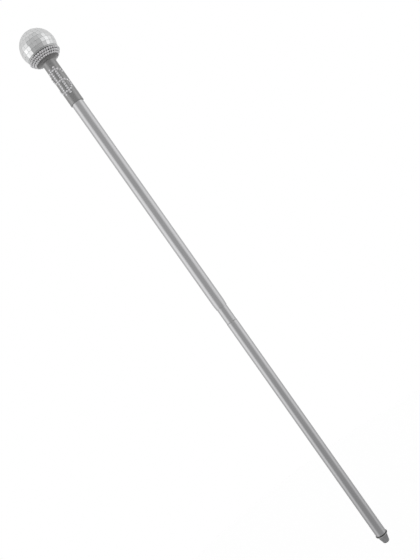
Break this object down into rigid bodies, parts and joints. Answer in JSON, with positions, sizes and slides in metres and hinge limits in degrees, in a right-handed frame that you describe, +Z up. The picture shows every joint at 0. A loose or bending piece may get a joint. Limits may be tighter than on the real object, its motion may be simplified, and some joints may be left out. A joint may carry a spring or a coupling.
{
  "type": "show cane",
  "caption": "Stage magician's show cane with a mirror-ball head, rhinestone collar and motif, grey handle and a silver shaft that unscrews in the middle.",
  "frame": {"origin": "centre of the flat foot of the tip, on the cane's axis", "axes": "+Z up the shaft to the mirror ball; -Y is the side that carries the rhinestone motif; +X is to the right of a person who looks at the motif with the ball up"},
  "size_m": [0.0607, 0.0607, 0.9969],
  "materials": {
    "mirror_glass": "bright silvered mirror, cut into small flat tiles",
    "rhinestone": "foil-backed faceted acrylic, very bright",
    "handle_plastic": "satin mid grey, moulded",
    "core_plastic": "plain moulded, hidden under the tiles",
    "brass_insert": "turned and threaded",
    "inner_aluminium": "turned, hidden in the tube",
    "screw_steel": "zinc plated",
    "tube_silver": "satin silver, lightly lacquered",
    "sleeve_silver": "satin silver",
    "washer_rubber": "dull mid grey",
    "tip_plastic": "plain moulded",
    "ring_metal": "satin silver",
    "foot_rubber": "dull mid grey"
  },
  "bodies": {
    "head": {"handle": "handle_plastic", "core_upper": "core_plastic", "core_lower": "core_plastic", "ball_insert": "brass_insert", "fixing_screw": "screw_steel", "screw_washer": "screw_steel", "pole_mirror": "mirror_glass", "mirror_row_01": "mirror_glass", "mirror_row_02": "mirror_glass", "mirror_row_03": "mirror_glass", "mirror_row_04": "mirror_glass", "mirror_row_05": "mirror_glass", "mirror_row_06": "mirror_glass", "mirror_row_07": "mirror_glass", "mirror_row_08": "mirror_glass", "mirror_row_09": "mirror_glass", "mirror_row_10": "mirror_glass", "mirror_row_11": "mirror_glass", "mirror_row_12": "mirror_glass", "collar_stones_upper": "rhinestone", "collar_stones_middle": "rhinestone", "collar_stones_lower": "rhinestone", "motif_bar_left": "rhinestone", "motif_bar_right": "rhinestone", "motif_curve": "rhinestone"},
    "upper_shaft": {"upper_tube": "tube_silver", "coupling_sleeve": "sleeve_silver", "thread_bush": "brass_insert"},
    "joint_ring": {"joint_washer": "washer_rubber"},
    "lower_shaft": {"lower_tube": "tube_silver", "coupling_plug": "inner_aluminium", "coupling_stud": "screw_steel", "tip_plug": "tip_plastic", "tip_ring": "ring_metal", "tip_foot": "foot_rubber"}
  },
  "joints": [
    {"name": "socket_slide", "type": "slide", "parent": "head", "child": "upper_shaft", "axis": [0, 0, -1], "range_m": [0, 0.06]},
    {"name": "ring_slide", "type": "slide", "parent": "upper_shaft", "child": "joint_ring", "axis": [0, 0, -1], "range_m": [0, 0.015]},
    {"name": "shaft_screw", "type": "hinge", "parent": "joint_ring", "child": "lower_shaft", "pos_m": [0, 0, 0.4306], "axis": [0, 0, -1], "range_deg": [0, 1800]}
  ],
  "couplings": [
    {"joint": "ring_slide", "follows": "shaft_screw", "m_per_rad": 0.000477}
  ]
}
